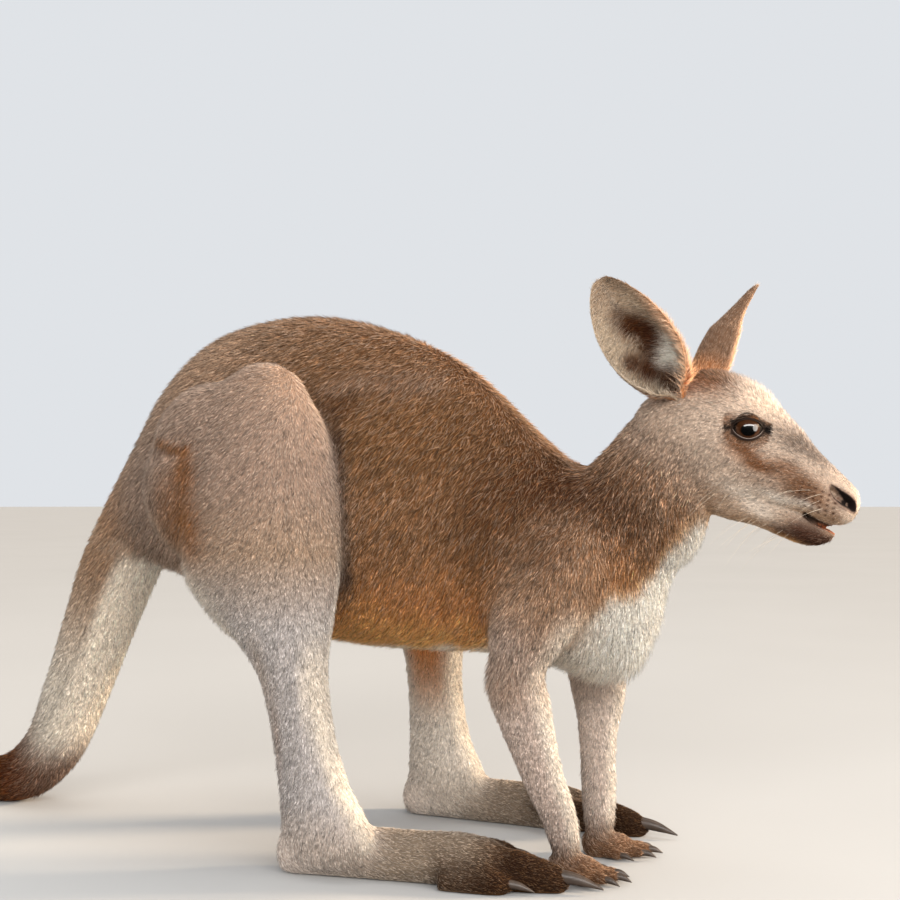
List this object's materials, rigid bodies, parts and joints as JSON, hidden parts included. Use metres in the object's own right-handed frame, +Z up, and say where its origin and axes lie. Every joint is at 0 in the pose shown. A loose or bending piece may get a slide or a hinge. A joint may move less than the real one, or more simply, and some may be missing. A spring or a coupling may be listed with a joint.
{
  "type": "kangaroo",
  "caption": "Life-size young grey kangaroo standing on all fours with its tail on the floor, a still museum-type model.",
  "frame": {"origin": "on the floor, under the centre of the model's box", "axes": "+X towards the head, +Y to the animal's left, +Z up"},
  "size_m": [1.15, 0.343, 0.5224],
  "materials": {
    "coat_back": "thick grey-brown fur",
    "coat_limb": "short pale grey-brown fur",
    "coat_dark": "short dark brown fur",
    "ear": "thin short fur over skin",
    "eye": "wet gloss",
    "claw": "worn horn"
  },
  "bodies": {
    "root": {"claw_paw_left_1": "claw", "claw_paw_left_2": "claw", "claw_paw_left_3": "claw", "claw_paw_left_4": "claw", "claw_paw_left_5": "claw", "claw_paw_right_1": "claw", "claw_paw_right_2": "claw", "claw_paw_right_3": "claw", "claw_paw_right_4": "claw", "claw_paw_right_5": "claw", "claw_toe_big_left_1": "claw", "claw_toe_big_right_1": "claw", "claw_toe_inner_left_1": "claw", "claw_toe_inner_left_2": "claw", "claw_toe_inner_right_1": "claw", "claw_toe_inner_right_2": "claw", "claw_toe_outer_left_1": "claw", "claw_toe_outer_right_1": "claw", "ear_left": "ear", "ear_right": "ear", "eye_left": "eye", "eye_right": "eye", "foot_left": "coat_limb", "foot_right": "coat_limb", "forearm_left": "coat_limb", "forearm_right": "coat_limb", "head": "coat_limb", "jaw": "coat_dark", "neck": "coat_back", "paw_left": "coat_dark", "paw_right": "coat_dark", "shank_left": "coat_limb", "shank_right": "coat_limb", "tail_base": "coat_back", "tail_middle": "coat_back", "tail_tip": "coat_dark", "tail_upper": "coat_back", "thigh_left": "coat_limb", "thigh_right": "coat_limb", "toe_big_left": "coat_dark", "toe_big_right": "coat_dark", "toe_inner_left": "coat_dark", "toe_inner_right": "coat_dark", "toe_outer_left": "coat_dark", "toe_outer_right": "coat_dark", "trunk": "coat_back", "upper_arm_left": "coat_limb", "upper_arm_right": "coat_limb"}
  },
  "joints": []
}
